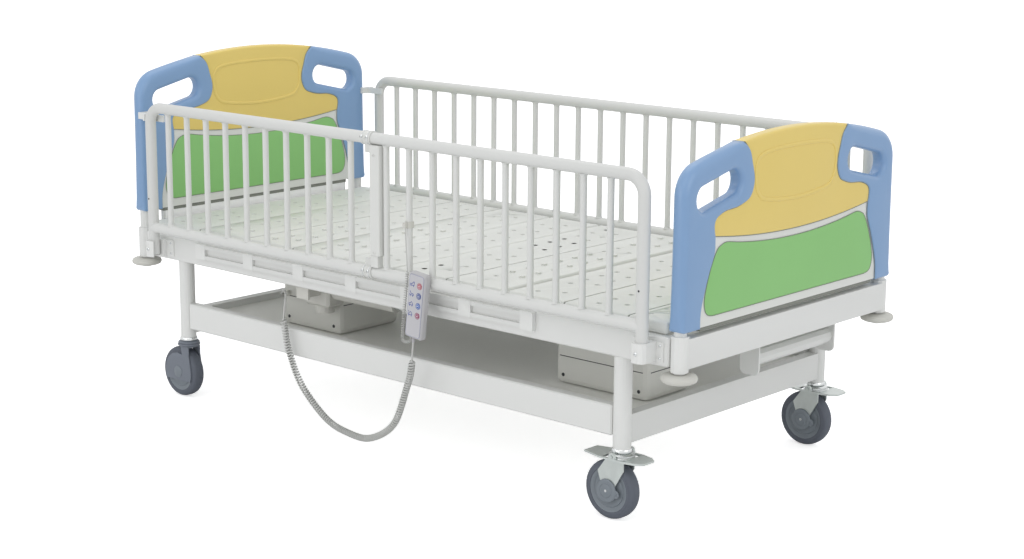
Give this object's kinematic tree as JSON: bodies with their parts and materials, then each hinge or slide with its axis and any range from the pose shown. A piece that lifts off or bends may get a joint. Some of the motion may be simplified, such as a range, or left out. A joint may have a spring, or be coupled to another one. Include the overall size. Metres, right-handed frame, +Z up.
{
  "type": "pediatric hospital bed",
  "caption": "Child's hospital bed on casters: hinged back, thigh and calf sections, drop-side guards with bars, lift-off coloured end boards, drives and a corded handset.",
  "frame": {"origin": "on the floor, under the middle of the bed", "axes": "+X towards the foot end, +Y towards the far side from the handset, +Z up"},
  "size_m": [1.742, 0.8629, 0.8418],
  "materials": {
    "white_steel": "white powder coat",
    "cream": "moulded",
    "deck_white": "moulded, fine grain",
    "blue": "satin",
    "yellow": "satin",
    "green": "satin",
    "ground": "satin",
    "tray_grey": "powder coat",
    "box_grey": "moulded",
    "zinc": "zinc plated",
    "hood_grey": "moulded",
    "wheel_grey": "grey tread",
    "hand_grey": "moulded",
    "button_red": "satin",
    "button_blue": "satin",
    "cord_grey": "matte sheath"
  },
  "bodies": {
    "frame": {"end_frame_head": "white_steel", "end_frame_foot": "white_steel", "side_rail_near": "white_steel", "side_rail_far": "white_steel", "base_end_head": "white_steel", "base_end_foot": "white_steel", "base_rail_near": "white_steel", "base_rail_far": "white_steel", "seat_beams": "white_steel", "accessory_rail": "white_steel", "base_tray": "tray_grey", "deck_seat": "deck_white", "back_drive": "box_grey", "power_box": "box_grey", "control_box": "box_grey", "thigh_drive": "cream", "cord_lead": "cord_grey", "cord_coil": "cord_grey"},
    "backrest": {"deck_back": "deck_white"},
    "thigh": {"deck_thigh": "deck_white"},
    "calf": {"deck_calf": "deck_white"},
    "back_push_rod": {"back_rod": "zinc"},
    "thigh_push_rod": {"thigh_rod": "zinc"},
    "near_guard": {"guard_near_head": "white_steel", "guard_near_foot": "white_steel", "guard_near_post": "white_steel", "handset": "hand_grey", "lanyard_clip": "hand_grey", "lanyard": "cord_grey"},
    "far_guard": {"guard_far": "white_steel"},
    "headboard": {"headboard_side_near": "blue", "headboard_side_far": "blue", "headboard_upper": "yellow", "headboard_ground": "ground", "headboard_lower": "green", "guard_clip_near": "white_steel", "guard_clip_far": "white_steel"},
    "footboard": {"footboard_side_near": "blue", "footboard_side_far": "blue", "footboard_upper": "yellow", "footboard_ground": "ground", "footboard_lower": "green"},
    "button_1": {"handset_button_1": "button_red"},
    "button_2": {"handset_button_2": "button_blue"},
    "button_3": {"handset_button_3": "button_blue"},
    "button_4": {"handset_button_4": "button_red"},
    "swivel_head_near": {"caster_fork_head_near": "hood_grey"},
    "wheel_head_near": {"caster_wheel_head_near": "wheel_grey"},
    "buffer_head_near": {"bumper_head_near": "cream"},
    "swivel_head_far": {"caster_fork_head_far": "hood_grey"},
    "wheel_head_far": {"caster_wheel_head_far": "wheel_grey"},
    "buffer_head_far": {"bumper_head_far": "cream"},
    "swivel_foot_near": {"caster_fork_foot_near": "zinc"},
    "wheel_foot_near": {"caster_wheel_foot_near": "wheel_grey"},
    "pedal_near": {"brake_pedal_near": "zinc"},
    "buffer_foot_near": {"bumper_foot_near": "cream"},
    "swivel_foot_far": {"caster_fork_foot_far": "zinc"},
    "wheel_foot_far": {"caster_wheel_foot_far": "wheel_grey"},
    "pedal_far": {"brake_pedal_far": "zinc"},
    "buffer_foot_far": {"bumper_foot_far": "cream"}
  },
  "joints": [
    {"name": "backrest_tilt", "type": "hinge", "parent": "frame", "child": "backrest", "pos_m": [-0.12, 0, 0.4323], "axis": [0, 1, 0], "range_deg": [0, 70]},
    {"name": "thigh_tilt", "type": "hinge", "parent": "frame", "child": "thigh", "pos_m": [0.04, 0, 0.4323], "axis": [0, -1, 0], "range_deg": [0, 35]},
    {"name": "calf_fold", "type": "hinge", "parent": "thigh", "child": "calf", "pos_m": [0.371, 0, 0.4048], "axis": [0, -1, 0], "range_deg": [-62, 0]},
    {"name": "back_rod_push", "type": "slide", "parent": "frame", "child": "back_push_rod", "axis": [-1, 0, 0], "range_m": [0, 0.1321]},
    {"name": "thigh_rod_push", "type": "slide", "parent": "frame", "child": "thigh_push_rod", "axis": [1, 0, 0], "range_m": [0, 0.0694]},
    {"name": "near_guard_drop", "type": "slide", "parent": "frame", "child": "near_guard", "axis": [0, 0, 1], "range_m": [-0.22, 0], "deforming": ["cord_coil"]},
    {"name": "far_guard_drop", "type": "slide", "parent": "frame", "child": "far_guard", "axis": [0, 0, 1], "range_m": [-0.22, 0]},
    {"name": "headboard_lift", "type": "slide", "parent": "frame", "child": "headboard", "axis": [0, 0, 1], "range_m": [0, 0.12]},
    {"name": "footboard_lift", "type": "slide", "parent": "frame", "child": "footboard", "axis": [0, 0, 1], "range_m": [0, 0.12]},
    {"name": "button_1_press", "type": "slide", "parent": "near_guard", "child": "button_1", "axis": [0, 1, 0], "range_m": [0, 0.001], "stiffness_N_per_m": 1500, "springref_m": -0.0004},
    {"name": "button_2_press", "type": "slide", "parent": "near_guard", "child": "button_2", "axis": [0, 1, 0], "range_m": [0, 0.001], "stiffness_N_per_m": 1500, "springref_m": -0.0004},
    {"name": "button_3_press", "type": "slide", "parent": "near_guard", "child": "button_3", "axis": [0, 1, 0], "range_m": [0, 0.001], "stiffness_N_per_m": 1500, "springref_m": -0.0004},
    {"name": "button_4_press", "type": "slide", "parent": "near_guard", "child": "button_4", "axis": [0, 1, 0], "range_m": [0, 0.001], "stiffness_N_per_m": 1500, "springref_m": -0.0004},
    {"name": "swivel_turn_head_near", "type": "hinge", "parent": "frame", "child": "swivel_head_near", "pos_m": [-0.688, -0.355, 0.0625], "axis": [0, 0, 1], "continuous": true},
    {"name": "wheel_roll_head_near", "type": "hinge", "parent": "swivel_head_near", "child": "wheel_head_near", "pos_m": [-0.71, -0.355, 0.0625], "axis": [0, 1, 0], "continuous": true},
    {"name": "buffer_spin_head_near", "type": "hinge", "parent": "frame", "child": "buffer_head_near", "pos_m": [-0.834, -0.364, 0.3265], "axis": [0, 0, 1], "continuous": true},
    {"name": "swivel_turn_head_far", "type": "hinge", "parent": "frame", "child": "swivel_head_far", "pos_m": [-0.688, 0.355, 0.0625], "axis": [0, 0, 1], "continuous": true},
    {"name": "wheel_roll_head_far", "type": "hinge", "parent": "swivel_head_far", "child": "wheel_head_far", "pos_m": [-0.71, 0.355, 0.0625], "axis": [0, 1, 0], "continuous": true},
    {"name": "buffer_spin_head_far", "type": "hinge", "parent": "frame", "child": "buffer_head_far", "pos_m": [-0.834, 0.364, 0.3265], "axis": [0, 0, 1], "continuous": true},
    {"name": "swivel_turn_foot_near", "type": "hinge", "parent": "frame", "child": "swivel_foot_near", "pos_m": [0.688, -0.355, 0.0625], "axis": [0, 0, 1], "continuous": true},
    {"name": "wheel_roll_foot_near", "type": "hinge", "parent": "swivel_foot_near", "child": "wheel_foot_near", "pos_m": [0.666, -0.355, 0.0625], "axis": [0, 1, 0], "continuous": true},
    {"name": "pedal_rock_near", "type": "hinge", "parent": "swivel_foot_near", "child": "pedal_near", "pos_m": [0.688, -0.355, 0.141], "axis": [0, 1, 0], "range_deg": [-7.5, 10]},
    {"name": "buffer_spin_foot_near", "type": "hinge", "parent": "frame", "child": "buffer_foot_near", "pos_m": [0.834, -0.364, 0.3265], "axis": [0, 0, 1], "continuous": true},
    {"name": "swivel_turn_foot_far", "type": "hinge", "parent": "frame", "child": "swivel_foot_far", "pos_m": [0.688, 0.355, 0.0625], "axis": [0, 0, 1], "continuous": true},
    {"name": "wheel_roll_foot_far", "type": "hinge", "parent": "swivel_foot_far", "child": "wheel_foot_far", "pos_m": [0.666, 0.355, 0.0625], "axis": [0, 1, 0], "continuous": true},
    {"name": "pedal_rock_far", "type": "hinge", "parent": "swivel_foot_far", "child": "pedal_far", "pos_m": [0.688, 0.355, 0.141], "axis": [0, 1, 0], "range_deg": [-7.5, 10]},
    {"name": "buffer_spin_foot_far", "type": "hinge", "parent": "frame", "child": "buffer_foot_far", "pos_m": [0.834, 0.364, 0.3265], "axis": [0, 0, 1], "continuous": true}
  ],
  "couplings": [
    {"joint": "calf_fold", "follows": "thigh_tilt", "ratio": -1.77},
    {"joint": "back_rod_push", "follows": "backrest_tilt", "m_per_rad": 0.10798},
    {"joint": "thigh_rod_push", "follows": "thigh_tilt", "m_per_rad": 0.11322}
  ]
}
